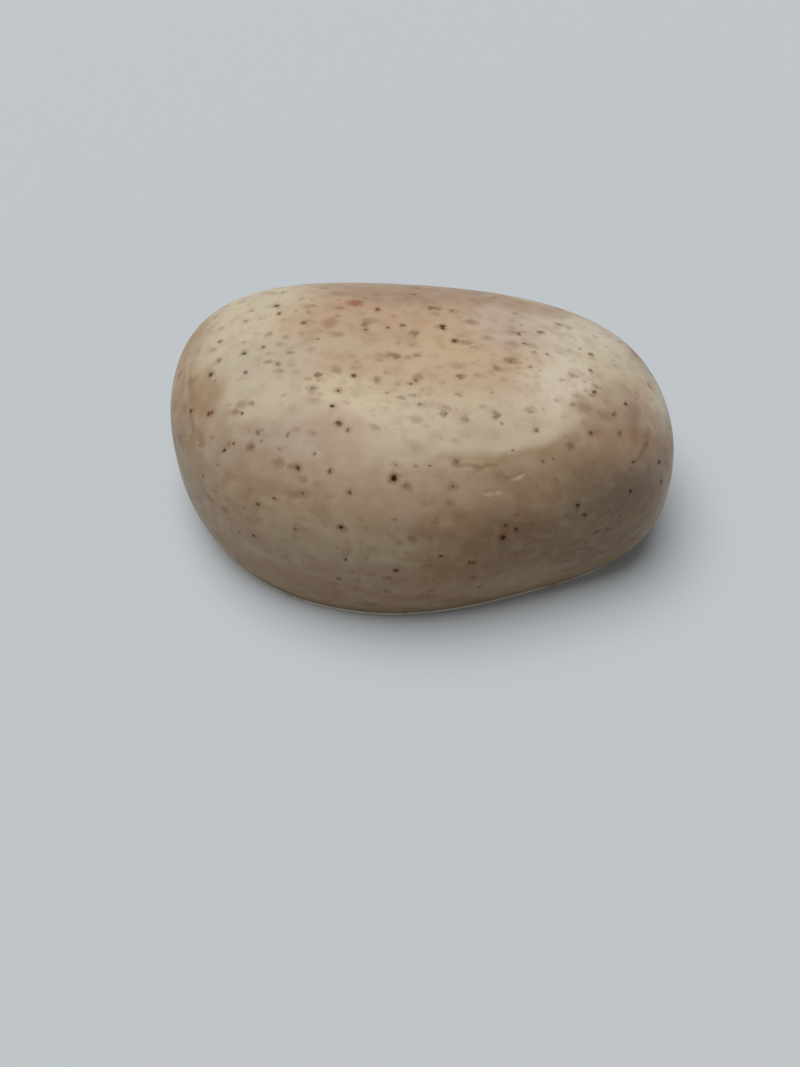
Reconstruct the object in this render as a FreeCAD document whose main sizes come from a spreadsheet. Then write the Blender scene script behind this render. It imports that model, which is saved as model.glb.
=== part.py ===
import FreeCAD, Part
import os
import Sketcher

# A bar of soap, cast as one piece in a mould like a flat river stone that is open at the bottom.
# It stands on its flat poured face, which has a thin lip where the soap met the mould's edge. The
# side swells out above the lip to a waist, turns in over a round shoulder and closes in a low crown.
# X runs along the bar from the tail, at -X, to the nose, at +X. The front is -Y, and Z is up.
# The origin lies on the poured face, under the middle of the waist. Millimetres.

SIZES = [
    ("length", 95, "tail to nose, across the waist"),
    ("width", 64, "front to back, across the waist"),
    ("height", 36, "poured face to the top of the crown"),
    ("waist_height", 12, "height at which the bar is widest"),
    ("crown_fullness", 2.8, "2 is a round top, and more is a flatter top with a tighter shoulder"),
    ("crown_shift_x", -1.8, "how far the crown leans along X, here towards the tail"),
    ("crown_shift_y", 1.4, "how far the crown leans along Y, here to the back"),
    ("underside_reach", 20.5, "how far below the waist the tucked side would close"),
    ("underside_fullness", 2.3, "2 is a round tuck, and more is a straighter one"),
    ("base_shift_x", -0.7, "how far the poured face sits off along X, here towards the tail"),
    ("base_shift_y", -1.9, "how far the poured face sits off along Y, here to the front"),
    ("lip_reach", 0.9, "how far the lip stands out from the side at the poured face"),
    ("lip_height", 0.5, "how thick the lip is"),
    ("lip_radius", 0.25, "rounding of the lip's lower edge"),
]

# The control points of the waist outline, counterclockwise from the nose,
# as shares of half the length and half the width.
OUTLINE = {
    "nose": (1.065, -0.249),
    "nose_back": (0.938, 0.974),
    "back": (0.057, 1.04),
    "tail_back": (-0.855, 0.808),
    "tail": (-1.096, 0.233),
    "tail_front": (-0.744, -0.944),
    "front": (0.102, -1.091),
    "nose_front": (0.742, -0.499),
}

# The outline is drawn as two curves that meet smoothly at the nose and at the tail.
HALVES = (
    ("nose_front", "nose", "nose_back", "back", "tail_back", "tail", "tail_front"),
    ("tail_back", "tail", "tail_front", "front", "nose_front", "nose", "nose_back"),
)
DEGREE = 3
# A cubic curve of four equal spans, which starts in its first point and ends in its last.
KNOTS = (0, 1, 2, 3, 4)
REPEATS = (4, 1, 1, 1, 4)

# The rings below the waist, as shares of the way down from the waist to the poured face.
DROPS = (1, 0.7, 0.35)
# The rings from the waist to the crown, as degrees round the quarter turn of the shoulder.
TURNS = (0, 14, 28, 41, 53, 63, 72, 80, 86)

FLAT = 1e-6  # a point this near to Z = 0 lies on the poured face


def make_sheet(doc):
    """The driving sizes, one row for each."""
    sheet = doc.addObject("Spreadsheet::Sheet", "sizes")
    rows = list(SIZES)
    for corner, (x_share, y_share) in OUTLINE.items():
        rows.append((corner + "_x", x_share, "outline, share of half the length"))
        rows.append((corner + "_y", y_share, "outline, share of half the width"))
    for row, (alias, value, note) in enumerate(rows, 1):
        sheet.set(f"A{row}", alias)
        sheet.set(f"B{row}", str(value))
        sheet.setAlias(f"B{row}", alias)
        sheet.set(f"C{row}", note)
    doc.recompute()
    return sheet


def place(sketch, x, y, z):
    """Puts a level sketch where the three expressions say."""
    sketch.setExpression("Placement.Base.x", x)
    sketch.setExpression("Placement.Base.y", y)
    sketch.setExpression("Placement.Base.z", z)


def blends(half):
    """The control points of one half of the outline, each as the corners it is blended from and
    their weights. The first two and the last two carry the curve smoothly over into the other half."""
    before, first, *middle, last, after = half
    yield {before: 1, first: 4, middle[0]: 1}
    yield {first: 2, middle[0]: 1}
    for corner in middle:
        yield {corner: 1}
    yield {middle[-1]: 1, last: 2}
    yield {middle[-1]: 1, last: 4, after: 1}


def blended(blend, axis):
    """A blend along one axis as an expression, and as the number that it comes to now."""
    total = sum(blend.values())
    terms = " + ".join(f"{weight} * sizes.{corner}_{'xy'[axis]}" for corner, weight in blend.items())
    number = sum(weight * OUTLINE[corner][axis] for corner, weight in blend.items())
    return f"({terms}) / {total}", number / total


def draw_half(sketch, half, number):
    """One half of the outline as a curve, its control points bound to the sheet."""
    sheet = sketch.Document.sizes
    wholes = (sheet.length, sheet.width)
    points = []
    bindings = []
    for blend in blends(half):
        spot = []
        for axis, whole in enumerate(("length", "width")):
            expression, share = blended(blend, axis)
            bindings.append(f"sizes.{whole} / 2 * Share * {expression}")
            spot.append(share * wholes[axis] / 2)
        points.append(FreeCAD.Vector(*spot, 0))

    curve = Part.BSplineCurve()
    curve.buildFromPolesMultsKnots(points, REPEATS, KNOTS, False, DEGREE)
    outline = sketch.addGeometry(curve, False)
    sketch.exposeInternalGeometry(outline)
    # The circles that hold the control points follow the curve in the sketch's list of geometry.
    for index, binding in enumerate(bindings):
        step, axis = divmod(index, 2)
        distance = ("DistanceX", "DistanceY")[axis]
        limit = Sketcher.Constraint(distance, -1, 1, outline + 1 + step, 3, points[step][axis])
        added = sketch.addConstraint(limit)
        alias = f"half{number}_point{step}_{'xy'[axis]}"
        sketch.renameConstraint(added, alias)
        sketch.setExpression(f"Constraints.{alias}", binding)


def ring(doc, name, share, level, span, shift):
    """The outline at one level. share is its size as a share of the waist, and level its height
    above the waist as a share of span, both as expressions. The ring leans with the level squared."""
    lean_x = f"sizes.{shift}_x * Level^2"
    lean_y = f"sizes.{shift}_y * Level^2"
    sketch = doc.addObject("Sketcher::SketchObject", name)
    sketch.addProperty("App::PropertyFloat", "Share", "Ring", "size as a share of the waist")
    sketch.addProperty("App::PropertyFloat", "Level", "Ring", "height above the waist, as a share")
    sketch.setExpression("Share", share)
    sketch.setExpression("Level", level)
    place(sketch, lean_x, lean_y, f"sizes.waist_height + {span} * Level")
    for number, half in enumerate(HALVES, 1):
        draw_half(sketch, half, number)
    return sketch


def underside_share(drop):
    """The size of the outline at a drop below the waist, as a share of the waist."""
    power = "sizes.underside_fullness"
    depth = f"{drop} * sizes.waist_height / sizes.underside_reach"
    return f"(1 - ({depth})^{power})^(1 / {power})"


def underside_rings(doc):
    """Rings from the poured face up to just under the waist."""
    for drop in DROPS:
        name = f"underside_{round(drop * 100)}"
        yield ring(doc, name, underside_share(drop), f"-{drop}", "sizes.waist_height", "base_shift")


def shoulder_rings(doc):
    """Rings from the waist over the shoulder onto the crown."""
    power = "(2 / sizes.crown_fullness)"
    span = "(sizes.height - sizes.waist_height)"
    for turn in TURNS:
        share = f"cos({turn})^{power}"
        level = f"sin({turn})^{power}"
        yield ring(doc, f"shoulder_{turn}", share, level, span, "crown_shift")


def crown_point(doc):
    """The single point in which the crown closes."""
    sketch = doc.addObject("Sketcher::SketchObject", "crown")
    place(sketch, "sizes.crown_shift_x", "sizes.crown_shift_y", "sizes.height")
    sketch.addGeometry(Part.Point(FreeCAD.Vector(0, 0, 0)), False)
    sketch.addConstraint(Sketcher.Constraint("Coincident", 0, 1, -1, 1))
    return sketch


def add_lip(body):
    """The thin lip round the poured face, as a pad on the same outline, a little larger."""
    share = f"{underside_share(1)} + 4 * sizes.lip_reach / (sizes.length + sizes.width)"
    outline = ring(body.Document, "lip_outline", share, "-1", "sizes.waist_height", "base_shift")
    body.addObject(outline)
    lip = body.newObject("PartDesign::Pad", "lip")
    lip.Profile = outline
    lip.setExpression("Length", "sizes.lip_height")
    body.Document.recompute()


def soap_bar(doc):
    """The whole bar: one loft through the rings, with a rounded lip round the poured face."""
    cast = doc.addObject("Part::Loft", "cast")
    cast.Sections = [*underside_rings(doc), *shoulder_rings(doc), crown_point(doc)]
    cast.Solid = True
    body = doc.addObject("PartDesign::Body", "soap_bar")
    body.Label = "soap_bar"
    body.BaseFeature = cast
    doc.recompute()
    add_lip(body)

    base = body.Tip
    rim = [
        f"Edge{number}"
        for number, edge in enumerate(base.Shape.Edges, 1)
        if not edge.Degenerated and all(abs(point.z) < FLAT for point in edge.discretize(9))
    ]
    rounding = body.newObject("PartDesign::Fillet", "rim")
    rounding.Base = (base, rim)
    rounding.setExpression("Radius", "sizes.lip_radius")
    doc.recompute()
    return body


def check(doc, parts):
    """Stops the build if a feature failed or a part isn't one valid solid."""
    failed = [o.Name for o in doc.Objects if {"Invalid", "Error"} & set(o.State)]
    if failed:
        raise RuntimeError(f"these features failed: {failed}")
    for part in parts:
        shape = part.Shape
        if shape.isNull() or not shape.isValid() or len(shape.Solids) != 1:
            raise RuntimeError(f"{part.Label} isn't one valid solid")


def main():
    doc = FreeCAD.newDocument("soap")
    make_sheet(doc)
    parts = [soap_bar(doc)]
    check(doc, parts)
    os.makedirs("parts", exist_ok=True)
    for part in parts:
        part.Shape.exportStep(os.path.join("parts", part.Label + ".step"))


main()
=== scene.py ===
import math

import bmesh
import bpy
from mathutils import Matrix, Vector, noise
from mathutils.bvhtree import BVHTree


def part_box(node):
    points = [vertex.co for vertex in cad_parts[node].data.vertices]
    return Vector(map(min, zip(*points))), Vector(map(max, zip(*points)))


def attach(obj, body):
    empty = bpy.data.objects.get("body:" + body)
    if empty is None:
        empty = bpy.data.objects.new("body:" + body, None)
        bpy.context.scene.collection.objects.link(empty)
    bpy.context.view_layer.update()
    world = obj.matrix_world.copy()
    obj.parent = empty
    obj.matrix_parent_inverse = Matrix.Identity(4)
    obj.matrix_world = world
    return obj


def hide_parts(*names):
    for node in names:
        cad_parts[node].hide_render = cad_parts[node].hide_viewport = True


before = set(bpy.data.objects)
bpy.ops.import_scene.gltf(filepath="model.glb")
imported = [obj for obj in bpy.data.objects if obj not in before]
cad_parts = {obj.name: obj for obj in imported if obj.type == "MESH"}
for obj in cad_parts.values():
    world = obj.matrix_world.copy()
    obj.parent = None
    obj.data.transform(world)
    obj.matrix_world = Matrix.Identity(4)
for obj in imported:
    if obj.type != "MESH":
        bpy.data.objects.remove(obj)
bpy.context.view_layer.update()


# The camera. It stands in front of the bar and a little to its right, and looks down at it
# at 44 degrees, from 18 cm away. The image is 800 by 1067, so the lens fits its height.

image_width = 800
image_height = 1067
focal_pixels = 1000
camera_place = Vector((0.0250, -0.1280, 0.1472))
camera_aim = Vector((-0.0002, -0.0104, 0))

camera_data = bpy.data.cameras.new("camera")
camera_data.sensor_width = 36
camera_data.lens = camera_data.sensor_width * focal_pixels / image_height
camera_data.clip_start = 0.01
camera = bpy.data.objects.new("camera", camera_data)
camera.location = camera_place
camera.rotation_euler = (camera_aim - camera_place).to_track_quat("-Z", "Y").to_euler()
bpy.context.scene.collection.objects.link(camera)
bpy.context.scene.camera = camera


# The bar of soap. It is one casting of opaque soap, with swirls of dye and ground seed stirred in,
# poured into an open mould like a flat river stone. It was turned out when firm, so it stands on its
# flat poured face, which has a thin lip round it.

box_low, box_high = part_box("soap_bar")
snug = 0.998  # keeps the bar a hair inside its box
half_length = (box_high.x - box_low.x) / 2 * snug
half_width = (box_high.y - box_low.y) / 2 * snug
height = box_high.z
waist_height = height / 3
crown_fullness = 2.8
crown_lean = Vector((-0.0018, 0.0014))
underside_reach = 0.0205
underside_fullness = 2.3
base_lean = Vector((-0.0007, -0.0019))
mean_radius = (half_length + half_width) / 2

# Counterclockwise from the nose, as shares of half the length and half the width.
outline_points = [
    (1.065, -0.249),
    (0.938, 0.974),
    (0.057, 1.04),
    (-0.855, 0.808),
    (-1.096, 0.233),
    (-0.744, -0.944),
    (0.102, -1.091),
    (0.742, -0.499),
]
points_a_span = 48

outline_curve = bpy.data.curves.new("soap_outline", "CURVE")
outline_curve.dimensions = "3D"
outline = outline_curve.splines.new("NURBS")
outline.points.add(len(outline_points) - 1)
for point, (x_share, y_share) in zip(outline.points, outline_points):
    point.co = (x_share * half_length, y_share * half_width, 0, 1)
outline.use_cyclic_u = True
outline.order_u = 4
outline.resolution_u = points_a_span
outline_holder = bpy.data.objects.new("soap_outline", outline_curve)
soap_mesh = bpy.data.meshes.new_from_object(outline_holder)
bpy.data.objects.remove(outline_holder)


def wall_share(z):
    """The size of the bar's section below the waist, as a share of the waist."""
    depth = (waist_height - z) / underside_reach
    return (1 - depth**underside_fullness) ** (1 / underside_fullness)


def spread(step, steps):
    """A share from 0 to 1 that starts and ends in short steps."""
    ease = 1.4
    share = step / steps
    rise = share**ease
    return rise / (rise + (1 - share) ** ease)


def ring_places():
    """Each ring's size as a share of the waist, and its middle. The rings go from the middle of the
    poured face out to the lip, up the side and over the shoulder to the crown."""
    face_share = wall_share(0) * 0.985
    face_rings = 24
    for step in range(1, face_rings + 1):
        yield face_share * step / face_rings, base_lean, 0
    # The lip: how far it stands out from the wall, and at which height, in millimetres.
    lip = [
        (0.45, 0),
        (0.64, 0.03),
        (0.71, 0.1),
        (0.60, 0.25),
        (0.47, 0.38),
        (0.34, 0.46),
        (0.20, 0.51),
        (0.08, 0.55),
        (0.02, 0.62),
        (0, 0.8),
    ]
    for outset, z in lip:
        yield wall_share(z / 1000) + outset / 1000 / mean_radius, base_lean, z / 1000
    wall_rings = 30
    lip_top = 0.0011
    for step in range(wall_rings):
        z = lip_top + (waist_height - lip_top) * step / wall_rings
        drop = 1 - z / waist_height
        yield wall_share(z), base_lean * drop**2, z
    shoulder_rings = 112
    for step in range(shoulder_rings):
        turn = math.radians(90) * spread(step, shoulder_rings)
        level = math.sin(turn) ** (2 / crown_fullness)
        share = math.cos(turn) ** (2 / crown_fullness)
        yield share, crown_lean * level**2, waist_height + (height - waist_height) * level


def next_ring(form, edges, old, new):
    """Extrudes a ring, and scales and moves the new ring from the old place to the new one."""
    old_share, old_middle = old
    new_share, new_middle = new
    grown = bmesh.ops.extrude_edge_only(form, edges=edges)["geom"]
    corners = [part for part in grown if isinstance(part, bmesh.types.BMVert)]
    grown_edges = [part for part in grown if isinstance(part, bmesh.types.BMEdge)]
    fresh = set(corners)
    ring = [edge for edge in grown_edges if fresh.issuperset(edge.verts)]
    ratio = new_share / old_share
    bmesh.ops.scale(form, vec=(ratio, ratio, 1), space=Matrix.Translation(-old_middle), verts=corners)
    bmesh.ops.translate(form, vec=new_middle - old_middle, verts=corners)
    return ring, corners


soap_form = bmesh.new()
soap_form.from_mesh(soap_mesh)
ring_edges = soap_form.edges[:]
ring_corners = soap_form.verts[:]
first_ring = ring_corners
ring_place = (1, Vector((0, 0, 0)))
for number, (share, lean, z) in enumerate(ring_places()):
    place = (share, Vector((lean.x, lean.y, z)))
    if number:
        ring_edges, ring_corners = next_ring(soap_form, ring_edges, ring_place, place)
    else:
        bmesh.ops.scale(soap_form, vec=(share, share, 1), verts=ring_corners)
        bmesh.ops.translate(soap_form, vec=place[1], verts=ring_corners)
    ring_place = place
face_middle = Vector((base_lean.x, base_lean.y, 0))
crown_middle = Vector((crown_lean.x, crown_lean.y, height))
bmesh.ops.pointmerge(soap_form, verts=first_ring, merge_co=face_middle)
bmesh.ops.pointmerge(soap_form, verts=ring_corners, merge_co=crown_middle)
bmesh.ops.recalc_face_normals(soap_form, faces=soap_form.faces)
soap_form.normal_update()

# Two nicks under the front shoulder: each one's middle, its long direction, and its reach along,
# across and inwards. The faces round them are cut finer first.
out_of_nicks = Vector((0.36, -0.68, 0.64)).normalized()
nicks = [
    (
        Vector((0.0208, -0.0179, 0.0288)),
        Vector((0.86, 0.45, 0.24)).normalized(),
        (0.0015, 0.00045, 0.0010),
    ),
    (
        Vector((0.0174, -0.0210, 0.0276)),
        Vector((0.90, 0.42, -0.08)).normalized(),
        (0.0017, 0.00065, 0.0010),
    ),
]
nick_depth = 0.00016
cut_finer_within = 0.0030
nick_edges = [
    edge
    for edge in soap_form.edges
    if any((corner.co - nick[0]).length < cut_finer_within for corner in edge.verts for nick in nicks)
]
bmesh.ops.subdivide_edges(soap_form, edges=nick_edges, cuts=3, use_grid_fill=True)
bmesh.ops.recalc_face_normals(soap_form, faces=soap_form.faces)
soap_form.normal_update()


def nick_frame(point, nick):
    """Where a point lies in a nick: 0 in its middle and 1 on its edge."""
    middle, long_way, (along, across, inwards) = nick
    side_way = long_way.cross(out_of_nicks).normalized()
    offset = point - middle
    parts = (
        offset.dot(long_way) / along,
        offset.dot(side_way) / across,
        offset.dot(out_of_nicks) / inwards,
    )
    return math.sqrt(sum(part * part for part in parts))


# The hand-finished surface lies a little below the mould's: broad dips, and finer ones on them.
broad_dip, broad_size = 0.00028, 0.021
fine_dip, fine_size = 0.00005, 0.0045
dip_start, dip_end = 0.001, 0.004
for corner in soap_form.verts:
    above_lip = min(1, max(0, (corner.co.z - dip_start) / (dip_end - dip_start)))
    broad = 0.5 + 0.5 * noise.noise(corner.co / broad_size)
    fine = 0.5 + 0.5 * noise.noise(corner.co / fine_size)
    dip = above_lip * (broad_dip * broad + fine_dip * fine)
    for nick in nicks:
        dip += nick_depth * max(0, 1 - nick_frame(corner.co, nick) ** 2)
    corner.co -= corner.normal * dip

soap_form.to_mesh(soap_mesh)
soap_skin = BVHTree.FromBMesh(soap_form)
soap_form.free()
soap_mesh.name = "soap_bar_cast"
for face in soap_mesh.polygons:
    face.use_smooth = True
soap = bpy.data.objects.new("soap_bar_cast", soap_mesh)
bpy.context.scene.collection.objects.link(soap)

# The soap itself, as one procedural material on Object coordinates, in millimetres.

soap_material = bpy.data.materials.new("swirled_soap")
soap_material.use_nodes = True
soap_nodes = soap_material.node_tree.nodes
soap_links = soap_material.node_tree.links
soap_surface = soap_nodes["Principled BSDF"]


def shade(red, green, blue):
    """A colour written as on a paint chart, from 0 to 255, as the shader takes it."""
    return [*(((part / 255 + 0.055) / 1.055) ** 2.4 for part in (red, green, blue)), 1]


def feed(socket, value):
    """Sets an input to a value, or links it to another node's output."""
    if isinstance(value, bpy.types.NodeSocket):
        soap_links.new(value, socket)
    else:
        socket.default_value = value


def work(operation, *values):
    """A sum on single numbers."""
    node = soap_nodes.new("ShaderNodeMath")
    node.operation = operation
    for socket, value in zip(node.inputs, values):
        feed(socket, value)
    return node.outputs[0]


def move(operation, *values):
    """A sum on vectors."""
    node = soap_nodes.new("ShaderNodeVectorMath")
    node.operation = operation
    for socket, value in zip(node.inputs, values):
        feed(socket, value)
    return node.outputs[0]


def distance(point):
    """The length of a vector."""
    node = soap_nodes.new("ShaderNodeVectorMath")
    node.operation = "LENGTH"
    feed(node.inputs[0], point)
    return node.outputs["Value"]


def slant(one, other):
    """The long side of a triangle, from the two sides at its right angle."""
    squares = work("ADD", work("MULTIPLY", one, one), work("MULTIPLY", other, other))
    return work("POWER", squares, 0.5)


def fade(value, start, end):
    """0 at the start, 1 at the end, and smooth between them."""
    node = soap_nodes.new("ShaderNodeMapRange")
    node.interpolation_type = "SMOOTHSTEP"
    feed(node.inputs["Value"], value)
    feed(node.inputs["From Min"], start)
    feed(node.inputs["From Max"], end)
    return node.outputs["Result"]


def clouds(point, size, detail=2.0, roughness=0.5, warp=0.0):
    """Soft noise with features of about the given size."""
    node = soap_nodes.new("ShaderNodeTexNoise")
    feed(node.inputs["Vector"], point)
    node.inputs["Scale"].default_value = 1 / size
    node.inputs["Detail"].default_value = detail
    node.inputs["Roughness"].default_value = roughness
    node.inputs["Distortion"].default_value = warp
    return node


def tint(amount, base, colour):
    """Lays a colour over another by an amount from 0 to 1."""
    node = soap_nodes.new("ShaderNodeMix")
    node.data_type = "RGBA"
    feed(node.inputs[0], amount)
    feed(node.inputs[6], base)
    feed(node.inputs[7], colour)
    return node.outputs[2]


def ellipse(point, middle, reach, soft):
    """1 in the middle of an oval, falling to 0 over its edge. soft is how wide that edge is."""
    from_middle = move("DIVIDE", move("SUBTRACT", point, middle), reach)
    return fade(distance(from_middle), 1 + soft, 1 - soft)


def on_soap(pixel):
    """Where a pixel of the photograph falls on the bar, in millimetres."""
    across, down = pixel
    sight = Vector((across - image_width / 2, image_height / 2 - down, -focal_pixels))
    sight.rotate(camera.rotation_euler)
    spot, _, _, _ = soap_skin.ray_cast(camera_place, sight.normalized())
    return spot * 1000


place_mm = move("SCALE", soap_nodes.new("ShaderNodeTexCoord").outputs["Object"])
place_mm.node.inputs["Scale"].default_value = 1000

# The soap was still soft when it was swirled, so nothing in it has an even edge.
broad_push = move("SUBTRACT", clouds(place_mm, 16, 2).outputs["Color"], (0.5, 0.5, 0.5))
fine_push = move("SUBTRACT", clouds(place_mm, 4, 3).outputs["Color"], (0.5, 0.5, 0.5))
tiny_push = move("SUBTRACT", clouds(place_mm, 0.8, 2).outputs["Color"], (0.5, 0.5, 0.5))
swirled = move("ADD", place_mm, move("MULTIPLY", broad_push, (16, 12, 8)))
swirled = move("ADD", swirled, move("MULTIPLY", fine_push, (3.5, 2.0, 1.4)))

# The swirls run round the bar. Flow measures them: across them by the way down from the crown,
# and along them by the way round the bar, much drawn out.
split = soap_nodes.new("ShaderNodeSeparateXYZ")
feed(split.inputs[0], move("ADD", place_mm, move("MULTIPLY", broad_push, (9, 7, 5))))
across_x, across_y, up = split.outputs
straight_half = 20.0  # the swirls run straight this far from the middle of the bar, both ways
straight = work("MINIMUM", work("MAXIMUM", across_x, -straight_half), straight_half)
round_x = work("SUBTRACT", across_x, straight)
way_out = slant(round_x, across_y)
way_out = work("ADD", way_out, work("DIVIDE", 30.0, work("ADD", way_out, 5.0)))
flow_node = soap_nodes.new("ShaderNodeCombineXYZ")
feed(flow_node.inputs[0], work("SUBTRACT", way_out, up))
turned_x = work("MULTIPLY", work("DIVIDE", round_x, way_out), 10.0)
feed(flow_node.inputs[1], work("ADD", work("MULTIPLY", straight, 0.2), turned_x))
feed(flow_node.inputs[2], work("MULTIPLY", work("DIVIDE", across_y, way_out), 10.0))
flow = flow_node.outputs[0]
bands = clouds(move("ADD", flow, fine_push), 5.0, 3, 0.5).outputs["Fac"]
streaks = clouds(move("MULTIPLY", flow, (1, 0.9, 0.9)), 2.6, 3, 0.5).outputs["Fac"]
mottle = clouds(swirled, 7, 3, 0.55).outputs["Fac"]
curd = clouds(place_mm, 2.8, 2, 0.5).outputs["Fac"]
wander = work("MULTIPLY", work("SUBTRACT", clouds(place_mm, 13, 3, 0.4).outputs["Fac"], 0.5), 6.0)
level = work("ADD", up, wander)

# Brown tan on the side, darker towards the lip, a cream ring on the shoulder and peach on the crown.
# The cream ring is partly dye and partly a painted sheen of the overhead light.
soap_colour = tint(fade(mottle, 0.35, 0.65), shade(175, 152, 125), shade(165, 140, 112))
soap_colour = tint(work("MULTIPLY", fade(bands, 0.40, 0.62), 0.7), soap_colour, shade(156, 127, 96))
soap_colour = tint(fade(level, 15.0, 3.0), soap_colour, shade(150, 123, 92))
soap_colour = tint(fade(level, 28.5, 33.0), soap_colour, shade(195, 179, 153))
soap_colour = tint(fade(level, 33.4, 35.6), soap_colour, shade(191, 166, 139))

# The other fields of dye, two of them partly a painted sheen on the shoulder: what each is, its middle
# and reach in millimetres, colour and strength.
fields = [
    ("peach over the back of the crown", (-2, 10, 36), (20, 9, 9), (186, 156, 128), 0.85),
    ("pink in the middle of the crown", (9, 2, 36), (13, 8, 6), (202, 175, 146), 0.7),
    ("lilac along the back edge", (2, 20, 34), (30, 6, 5), (162, 132, 110), 0.85),
    # This cream is partly dye and partly a painted sheen of the overhead light along the front
    # shoulder.
    ("cream and painted sheen along the front of the crown", (3, -11.5, 35), (26, 4.5, 6), (200, 184, 157), 0.8),
    ("yellow cream on the tail", (-33, 7, 32), (9, 13, 8), (203, 191, 164), 0.9),
    ("pale green cream on the tail", (-25, -7, 33), (7, 8, 5), (190, 179, 159), 0.7),
    ("ochre on the side of the tail", (-34, -11.5, 29), (4, 5.5, 5), (158, 132, 104), 0.65),
    ("grey under the tail's shoulder", (-26, -19, 29), (8, 5, 5), (172, 156, 136), 0.7),
    ("cream before the peach", (-8, -10.5, 35), (7, 3, 4), (210, 196, 166), 0.6),
    ("lilac on the front shoulder", (-17, -19, 32), (10, 5, 5), (168, 148, 128), 0.8),
    ("lilac at the back right", (14.5, 11, 35), (8.5, 6, 6), (194, 176, 160), 0.8),
    # This white is partly dye and partly a painted sheen of the overhead light on the right of the
    # crown.
    ("white and painted sheen near the nose", (24.5, 0, 34), (5.5, 9, 5), (218, 206, 186), 0.9),
    ("cream behind the nose", (28, 14, 32), (10, 9, 7), (214, 204, 183), 0.9),
    ("cream beside the white", (33, 5, 31), (5, 9, 4), (206, 192, 166), 0.7),
    ("rose on the nose", (38, -2, 27), (6, 8, 5), (154, 128, 108), 0.85),
    ("rose above the nose", (35, 1.5, 31), (4.5, 6, 3.5), (170, 149, 128), 0.6),
    ("pale rim of the nose", (43, 10, 27), (6, 8.5, 5.5), (212, 200, 180), 0.8),
    ("ochre in front of the nose", (34, -6, 30), (7, 5, 5), (160, 134, 108), 0.7),
    ("rose beside two specks", (-5, -18.5, 33.5), (7, 3, 3), (166, 140, 112), 0.7),
    ("rose on the front", (5, -24, 28), (18, 5, 5), (182, 158, 133), 0.75),
    ("lilac grey under the nose", (36, -13, 23.5), (9, 6, 6), (112, 95, 78), 0.85),
    ("grey on the nose", (43, -6.5, 23), (4, 5, 4), (142, 130, 116), 0.6),
    ("olive on the lower front", (-4, -29, 21), (16, 8, 5), (180, 159, 131), 0.75),
    ("brown on the lower right", (23, -22, 17), (20, 8, 7), (126, 97, 66), 0.85),
    ("brown below the nose", (37, -14, 12), (12, 8, 8), (118, 93, 66), 0.8),
    ("cream low on the front shoulder", (10, -17, 31), (12, 4, 4), (188, 169, 141), 0.6),
    ("brown under the right shoulder", (25, -17.5, 27), (11, 4, 3.6), (148, 122, 91), 0.6),
    ("ochre low in front", (11, -27, 17), (9, 5, 6), (144, 110, 70), 0.65),
    ("rose along the lip", (-2, -31, 6), (28, 7, 5), (150, 119, 90), 0.8),
    ("grey on the side of the tail", (-38, -16, 17), (9, 11, 9), (150, 130, 106), 0.7),
]
for _, middle, reach, colour, strength in fields:
    cover = work("MULTIPLY", ellipse(swirled, middle, reach, 0.55), strength)
    soap_colour = tint(cover, soap_colour, shade(*colour))

soap_colour = tint(work("MULTIPLY", fade(streaks, 0.50, 0.72), 0.12), soap_colour, shade(206, 188, 158))
soap_colour = tint(work("MULTIPLY", fade(streaks, 0.50, 0.28), 0.15), soap_colour, shade(158, 124, 92))
soap_colour = tint(work("MULTIPLY", fade(curd, 0.46, 0.72), 0.14), soap_colour, shade(208, 190, 160))
soap_colour = tint(work("MULTIPLY", fade(curd, 0.52, 0.30), 0.28), soap_colour, shade(158, 126, 92))

# Down the side the dye has run in soft brown blots, taller than they are wide.
runs = clouds(move("MULTIPLY", swirled, (1, 1, 0.55)), 3.0, 2, 0.5).outputs["Fac"]
runs = work("MULTIPLY", fade(runs, 0.55, 0.70), fade(level, 28.0, 22.0))
soap_colour = tint(work("MULTIPLY", runs, 0.30), soap_colour, shade(128, 92, 56))


def stroke(point, start, end, outwards, half_width):
    """1 along the line from the start to the end, falling to 0 over its edge. It reaches 3 mm out
    from the line and into the soap, so that it lies on the curved surface all the way."""
    way = end - start
    outwards = Vector(outwards).normalized()
    outwards = (outwards - way * outwards.dot(way) / way.length_squared).normalized()
    offset = move("SUBTRACT", point, start)
    along = move("DOT_PRODUCT", offset, way / way.length_squared).node.outputs["Value"]
    past = work("SUBTRACT", along, work("MINIMUM", work("MAXIMUM", along, 0.0), 1.0))
    past = work("MULTIPLY", past, way.length)
    aside = move("DOT_PRODUCT", offset, way.cross(outwards).normalized()).node.outputs["Value"]
    apart = slant(past, aside)
    depth = work("ABSOLUTE", move("DOT_PRODUCT", offset, outwards).node.outputs["Value"])
    return work("MULTIPLY", fade(apart, half_width * 1.8, 0.0), fade(depth, 3.0, 2.0))
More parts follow.
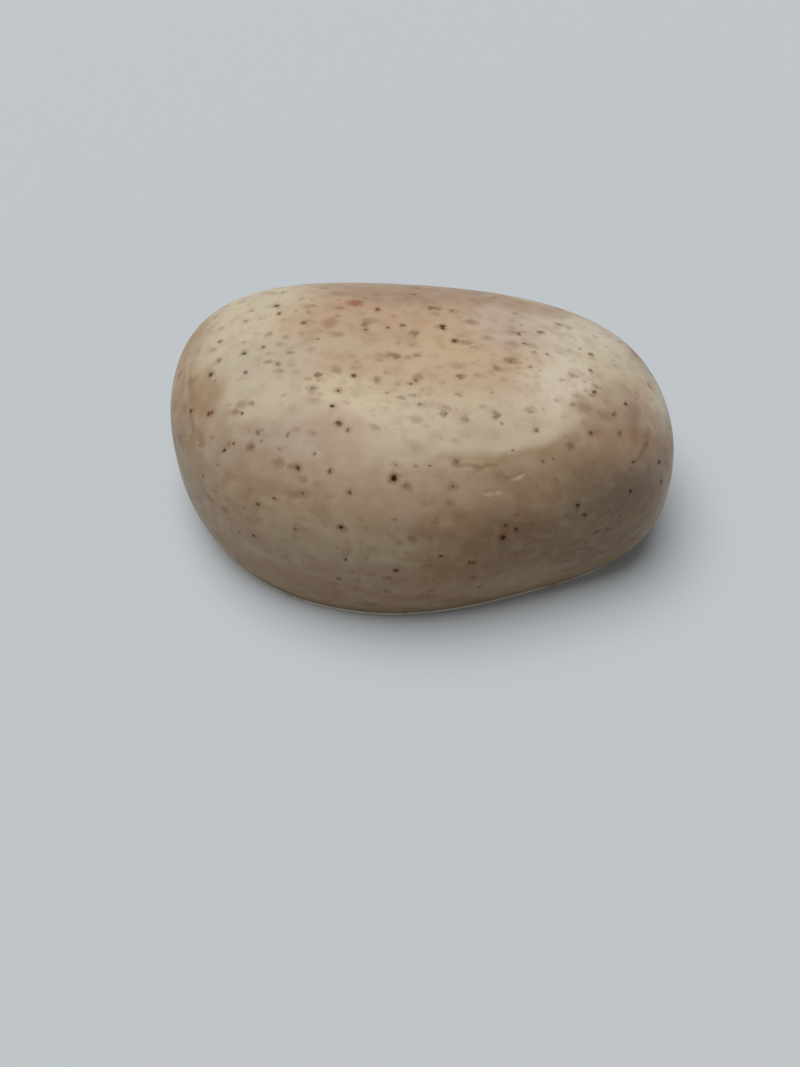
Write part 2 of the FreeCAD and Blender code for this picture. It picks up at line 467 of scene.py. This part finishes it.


# Single strokes of dye: pale wisps that sweep down the nose and the side of the tail, and brown ones
# beside them. Along the front shoulder, pale strokes over brown ones are streaks of dye and also a
# painted edge of the overhead light's sheen. Each has its first and last pixel in the photograph, the
# way out of the soap there, its half width in millimetres, its colour and its strength.
wisp_place = move("ADD", place_mm, move("MULTIPLY", fine_push, (1.6, 1.6, 1.2)))
wisp_place = move("ADD", wisp_place, move("MULTIPLY", tiny_push, (0.5, 0.5, 0.5)))
on_nose = (0.55, 0.0, 0.83)
on_tail = (-0.62, -0.30, 0.72)
on_front = (0.22, -0.45, 0.87)
strokes = [
    ((623, 369), (630, 386), on_nose, 0.40, (206, 178, 150), 0.6),
    ((638, 379), (643, 402), on_nose, 0.50, (200, 172, 148), 0.6),
    ((643, 402), (641, 424), on_nose, 0.45, (186, 158, 134), 0.55),
    ((641, 374), (655, 402), on_nose, 0.65, (206, 188, 158), 0.7),
    ((649, 406), (650, 432), on_nose, 0.50, (182, 162, 138), 0.65),
    ((649, 430), (646, 444), on_nose, 0.60, (118, 88, 62), 0.5),
    ((646, 444), (638, 459), on_nose, 0.50, (110, 84, 60), 0.5),
    ((633, 408), (633, 438), on_nose, 1.30, (140, 104, 80), 0.5),
    ((189, 361), (187, 393), on_tail, 0.50, (200, 180, 152), 0.3),
    ((191, 379), (193, 402), on_tail, 0.80, (150, 112, 78), 0.5),
    ((191, 416), (194, 431), on_tail, 0.50, (118, 92, 70), 0.5),
    ((198, 433), (203, 443), on_tail, 0.70, (126, 94, 68), 0.45),
    # The strokes along the front shoulder: streaks of dye that also paint the edge of the overhead
    # light's sheen.
    ((440, 447), (500, 448), on_front, 1.20, (206, 190, 162), 0.6),
    ((500, 448), (550, 432), on_front, 1.20, (208, 194, 166), 0.6),
    ((550, 430), (572, 417), on_front, 1.20, (210, 196, 170), 0.6),
    ((440, 457), (505, 457), on_front, 0.80, (154, 124, 90), 0.3),
    ((505, 457), (545, 452), on_front, 0.90, (148, 118, 84), 0.35),
    ((545, 452), (575, 438), on_front, 1.00, (148, 118, 86), 0.45),
    ((454, 465), (497, 465), on_front, 0.35, (140, 106, 72), 0.5),
]
for start, end, outwards, half_width, colour, strength in strokes:
    line = stroke(wisp_place, on_soap(start), on_soap(end), outwards, half_width)
    soap_colour = tint(work("MULTIPLY", line, strength), soap_colour, shade(*colour))

# The thin lip is painted paler: a painted glow for the light that shines through it and bounces onto
# it.
lip_split = soap_nodes.new("ShaderNodeSeparateXYZ")
feed(lip_split.inputs[0], place_mm)
height_mm = lip_split.outputs[2]
painted_lip_glow = work("MULTIPLY", fade(height_mm, 0.01, 0.08), fade(height_mm, 0.85, 0.60))
soap_colour = tint(painted_lip_glow, soap_colour, shade(226, 211, 189))


def specks(point, spacing, least, most, blur):
    """Round specks, one at most for each spacing, of a radius between least and most."""
    node = soap_nodes.new("ShaderNodeTexVoronoi")
    feed(node.inputs["Vector"], point)
    node.inputs["Scale"].default_value = 1 / spacing
    apart = work("MULTIPLY", node.outputs["Distance"], spacing)
    pick = soap_nodes.new("ShaderNodeSeparateColor")
    feed(pick.inputs[0], node.outputs["Color"])
    spare = work("POWER", pick.outputs[0], 2.0)
    radius = work("ADD", work("MULTIPLY", spare, most - least), least)
    return fade(apart, work("MULTIPLY", radius, 1 + blur), work("MULTIPLY", radius, 1 - blur)), pick


# Specks of ground seed. Dark ones lie at the surface, and rusty ones show blurred from below it.
speck_place = move("ADD", place_mm, move("MULTIPLY", tiny_push, (1.1, 0.9, 0.9)))
crowding = clouds(place_mm, 12, 1).outputs["Fac"]
on_crown = ellipse(place_mm, (0, 2, 36), (27, 15, 8), 0.4)
blots, blot_pick = specks(move("MULTIPLY", speck_place, (0.62, 1, 1)), 2.6, 0.42, 0.98, 0.8)
crowded = work("ADD", crowding, work("MULTIPLY", on_crown, 0.1))
blots = work("MULTIPLY", blots, fade(crowded, 0.35, 0.6))
blots = work("MULTIPLY", blots, work("ADD", work("MULTIPLY", blot_pick.outputs[1], 0.6), 0.15))
blot_colour = tint(blot_pick.outputs[2], shade(140, 88, 54), shade(114, 86, 52))
soap_colour = tint(blots, soap_colour, blot_colour)
grains = move("ADD", move("MULTIPLY", speck_place, (0.8, 1, 1)), (4.2, 1.3, 2.6))
halos, grain_pick = specks(grains, 1.9, 0.26, 0.80, 0.7)
dark, _ = specks(grains, 1.9, 0.12, 0.32, 0.5)
left_out = work("SUBTRACT", 0.64, work("MULTIPLY", on_crown, 0.34))
kept = work("GREATER_THAN", grain_pick.outputs[2], left_out)
halo_strength = work("ADD", work("MULTIPLY", grain_pick.outputs[1], 0.4), 0.15)
halos = work("MULTIPLY", kept, work("MULTIPLY", halos, halo_strength))
dark_strength = work("ADD", work("MULTIPLY", grain_pick.outputs[1], 0.7), 0.3)
dark = work("MULTIPLY", kept, work("MULTIPLY", dark, dark_strength))
olive = fade(clouds(place_mm, 5, 1).outputs["Fac"], 0.40, 0.60)
halo_colour = tint(olive, shade(134, 80, 42), shade(108, 78, 42))
soap_colour = tint(halos, soap_colour, halo_colour)
soap_colour = tint(dark, soap_colour, shade(66, 36, 10))

# The specks that stand out: each one's pixel in the photograph, its radius in millimetres, and how
# dark it is. Each has a softer brown edge, as the soap covers it a little.
marks = [
    ((393.6, 477.7), 0.52, 1.0),
    ((298.2, 467.7), 0.42, 0.8),
    ((330, 470.9), 0.36, 0.6),
    ((338.9, 423.6), 0.46, 0.75),
    ((348, 429.7), 0.34, 0.6),
    ((332.2, 406), 0.24, 1.0),
    ((443, 326), 0.38, 0.9),
    ((443, 328.5), 0.34, 0.9),
    ((454.4, 340.8), 0.42, 0.85),
    ((377.8, 309.7), 0.36, 0.75),
    ((402, 325.5), 0.32, 0.65),
    ((388.9, 327.5), 0.22, 0.85),
    ((365.5, 329.7), 0.34, 0.7),
    ((275.8, 306.1), 0.42, 0.7),
    ((279.4, 313.9), 0.32, 0.7),
    ((353.6, 375.6), 0.38, 0.75),
    ((210.6, 375), 0.44, 0.8),
    ((218.9, 360.3), 0.36, 0.55),
    ((219.7, 341.7), 0.32, 0.65),
    ((224, 450), 0.30, 1.0),
    ((208.3, 414.4), 0.32, 0.8),
    ((191, 411), 0.34, 0.75),
    ((242, 413.3), 0.22, 0.9),
    ((245.8, 372.2), 0.32, 0.55),
    ((263.3, 346.9), 0.28, 0.65),
    ((303.6, 322.8), 0.38, 0.55),
    ((416, 380.6), 0.42, 0.5),
    ((590.8, 370.8), 0.30, 0.7),
    ((594.7, 392.2), 0.34, 0.7),
    ((590.8, 433.3), 0.32, 0.7),
    ((535.8, 430.6), 0.34, 0.55),
    ((626, 404.7), 0.22, 0.9),
    ((633.6, 461.7), 0.32, 0.65),
    ((658.9, 462.5), 0.30, 0.9),
    ((661.4, 481.4), 0.34, 1.0),
    ((630, 491), 0.28, 1.0),
    ((502.7, 537.3), 0.44, 0.9),
    ((516.4, 529), 0.34, 0.75),
    ((505.5, 525.5), 0.28, 0.7),
    ((577.7, 505.5), 0.36, 0.75),
    ((584.5, 514.5), 0.26, 0.75),
    ((396.4, 570.5), 0.36, 0.7),
    ((346, 559.5), 0.24, 0.9),
    ((349, 492.7), 0.30, 0.75),
    ((468.6, 562.3), 0.32, 0.65),
    ((253.6, 535.9), 0.34, 0.75),
]
seeds = 0.0
seed_edges = 0.0
for pixel, radius, darkness in marks:
    apart = distance(move("SUBTRACT", speck_place, on_soap(pixel)))
    seed = work("MULTIPLY", fade(apart, radius * 1.5, radius * 0.5), darkness)
    seeds = work("MAXIMUM", seeds, seed)
    seed_edge = work("MULTIPLY", fade(apart, radius * 3.0, radius * 0.8), darkness)
    seed_edges = work("MAXIMUM", seed_edges, seed_edge)
soap_colour = tint(work("MULTIPLY", seed_edges, 0.6), soap_colour, halo_colour)
soap_colour = tint(seeds, soap_colour, shade(58, 30, 6))
dark = work("MAXIMUM", dark, seeds)

# Seeds that lie deeper show as soft brown smudges, which are given in the same way.
smudges = [
    ((364.7, 324), 0.75, 0.5),
    ((414.7, 333.9), 0.8, 0.5),
    ((431.4, 308.3), 0.6, 0.55),
    ((396.7, 356.7), 0.75, 0.5),
    ((317.5, 375), 0.65, 0.6),
    ((337, 370.6), 0.8, 0.3),
    ((377.2, 379.7), 0.75, 0.4),
    ((287.8, 434.4), 0.5, 0.5),
    ((250.5, 447.3), 0.8, 0.5),
    ((268.9, 333.9), 0.7, 0.35),
    ((258, 432), 0.5, 0.5),
    ((252, 403), 0.5, 0.45),
    ((619, 434), 0.55, 0.6),
    ((614.4, 413.9), 0.5, 0.55),
    ((591, 354.7), 0.55, 0.55),
    ((570.6, 446.4), 0.7, 0.45),
    ((495.6, 414.4), 0.65, 0.45),
    ((465, 418.6), 0.7, 0.35),
    ((444, 414.4), 0.65, 0.5),
    ((412.7, 539), 0.8, 0.35),
    ((386.8, 591), 0.6, 0.5),
    ((519, 334), 0.5, 0.6),
    ((540, 332.5), 0.5, 0.55),
    ((459.4, 376.4), 0.5, 0.5),
]
smudge_place = move("ADD", speck_place, move("MULTIPLY", tiny_push, (0.8, 0.8, 0.8)))
buried = 0.0
for pixel, radius, darkness in smudges:
    apart = distance(move("SUBTRACT", smudge_place, on_soap(pixel)))
    smudge = work("MULTIPLY", fade(apart, radius * 1.7, radius * 0.2), darkness)
    buried = work("MAXIMUM", buried, smudge)
soap_colour = tint(work("MULTIPLY", buried, 1.5), soap_colour, shade(106, 76, 40))

# Two red smears at the back of the crown: each one's pixel, its reach in millimetres and strength.
smears = [
    ((355, 303), (1.4, 1.1, 1.0), 0.9),
    ((329, 323), (1.2, 1.5, 1.0), 0.48),
]
for pixel, reach, strength in smears:
    cover = work("MULTIPLY", ellipse(speck_place, on_soap(pixel), reach, 0.6), strength)
    soap_colour = tint(cover, soap_colour, shade(152, 92, 66))

# The nicks show paler, drier soap.
ragged = move("ADD", place_mm, move("MULTIPLY", tiny_push, (0.4, 0.4, 0.4)))
scraped = None
for middle, long_way, reaches in nicks:
    side_way = long_way.cross(out_of_nicks).normalized()
    offset = move("SUBTRACT", ragged, middle * 1000)
    turned = soap_nodes.new("ShaderNodeCombineXYZ")
    for socket, way, reach in zip(turned.inputs, (long_way, side_way, out_of_nicks), reaches):
        part = move("DOT_PRODUCT", offset, way / (reach * 1000))
        feed(socket, part.node.outputs["Value"])
    cover = fade(distance(turned.outputs[0]), 1.2, 0.5)
    scraped = work("MAXIMUM", scraped, cover) if scraped else cover
soap_colour = tint(work("MULTIPLY", scraped, 0.5), soap_colour, shade(194, 174, 146))

feed(soap_surface.inputs["Base Color"], soap_colour)

# Satin, waxy and a little translucent.
feed(soap_surface.inputs["Subsurface Weight"], work("MULTIPLY", work("SUBTRACT", 1.0, dark), 0.35))
soap_surface.inputs["Subsurface Radius"].default_value = (1.0, 0.55, 0.35)
soap_surface.inputs["Subsurface Scale"].default_value = 0.003
soap_surface.inputs["IOR"].default_value = 1.45
feed(soap_surface.inputs["Specular IOR Level"], work("MULTIPLY", work("SUBTRACT", 1.0, dark), 0.4))
satin = clouds(place_mm, 6, 3, 0.6).outputs["Fac"]
gloss = work("ADD", work("MULTIPLY", satin, 0.22), 0.32)
feed(soap_surface.inputs["Roughness"], work("ADD", gloss, work("MULTIPLY", scraped, 0.25)))

ripple = clouds(place_mm, 2.2, 3, 0.5).outputs["Fac"]
grain = clouds(place_mm, 0.35, 2, 0.6).outputs["Fac"]
relief = soap_nodes.new("ShaderNodeBump")
relief.inputs["Strength"].default_value = 1
relief.inputs["Distance"].default_value = 0.00003
feed(relief.inputs["Height"], work("ADD", ripple, work("MULTIPLY", grain, 0.25)))
feed(soap_surface.inputs["Normal"], relief.outputs["Normal"])
soap_mesh.materials.append(soap_material)

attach(soap, "root")
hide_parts("soap_bar")


# The floor: a plain pale sheet of paper, so wide that it fills the view.

paper_reach = 3
floor_form = bmesh.new()
bmesh.ops.create_grid(floor_form, x_segments=1, y_segments=1, size=paper_reach)
floor_mesh = bpy.data.meshes.new("floor")
floor_form.to_mesh(floor_mesh)
floor_form.free()
floor = bpy.data.objects.new("floor", floor_mesh)
bpy.context.scene.collection.objects.link(floor)
paper = bpy.data.materials.new("pale_paper")
paper.use_nodes = True
paper.node_tree.nodes["Principled BSDF"].inputs["Base Color"].default_value = shade(199, 206, 212)
paper.node_tree.nodes["Principled BSDF"].inputs["Roughness"].default_value = 0.9
floor_mesh.materials.append(paper)


# The lights: one wide soft light overhead, a little towards the tail, and a dim pale room. The
# camera and the sheen on the soap see the room as pale as the paper.

key_data = bpy.data.lights.new("overhead_light", "SUN")
key_data.energy = 2.35
key_data.angle = math.radians(48)
key_data.color = (1.0, 0.985, 0.96)
key = bpy.data.objects.new("overhead_light", key_data)
key.rotation_euler = Vector((0.24, -0.08, -0.96)).to_track_quat("-Z", "Y").to_euler()
bpy.context.scene.collection.objects.link(key)

room = bpy.data.worlds.new("room")
room.use_nodes = True
room_nodes = room.node_tree.nodes
room_links = room.node_tree.links
dim_room = room_nodes["Background"]
dim_room.inputs["Color"].default_value = (0.86, 0.87, 0.88, 1)
dim_room.inputs["Strength"].default_value = 0.20
seen_room = room_nodes.new("ShaderNodeBackground")
seen_room.inputs["Color"].default_value = shade(194, 200, 204)
ray = room_nodes.new("ShaderNodeLightPath")
seen = ray.outputs["Is Camera Ray"]
for kind in ("Is Glossy Ray", "Is Transmission Ray"):
    either = room_nodes.new("ShaderNodeMath")
    either.operation = "MAXIMUM"
    room_links.new(seen, either.inputs[0])
    room_links.new(ray.outputs[kind], either.inputs[1])
    seen = either.outputs[0]
room_mix = room_nodes.new("ShaderNodeMixShader")
room_links.new(seen, room_mix.inputs[0])
room_links.new(dim_room.outputs[0], room_mix.inputs[1])
room_links.new(seen_room.outputs[0], room_mix.inputs[2])
room_links.new(room_mix.outputs[0], room_nodes["World Output"].inputs["Surface"])
bpy.context.scene.world = room
bpy.context.scene.view_settings.view_transform = "Standard"
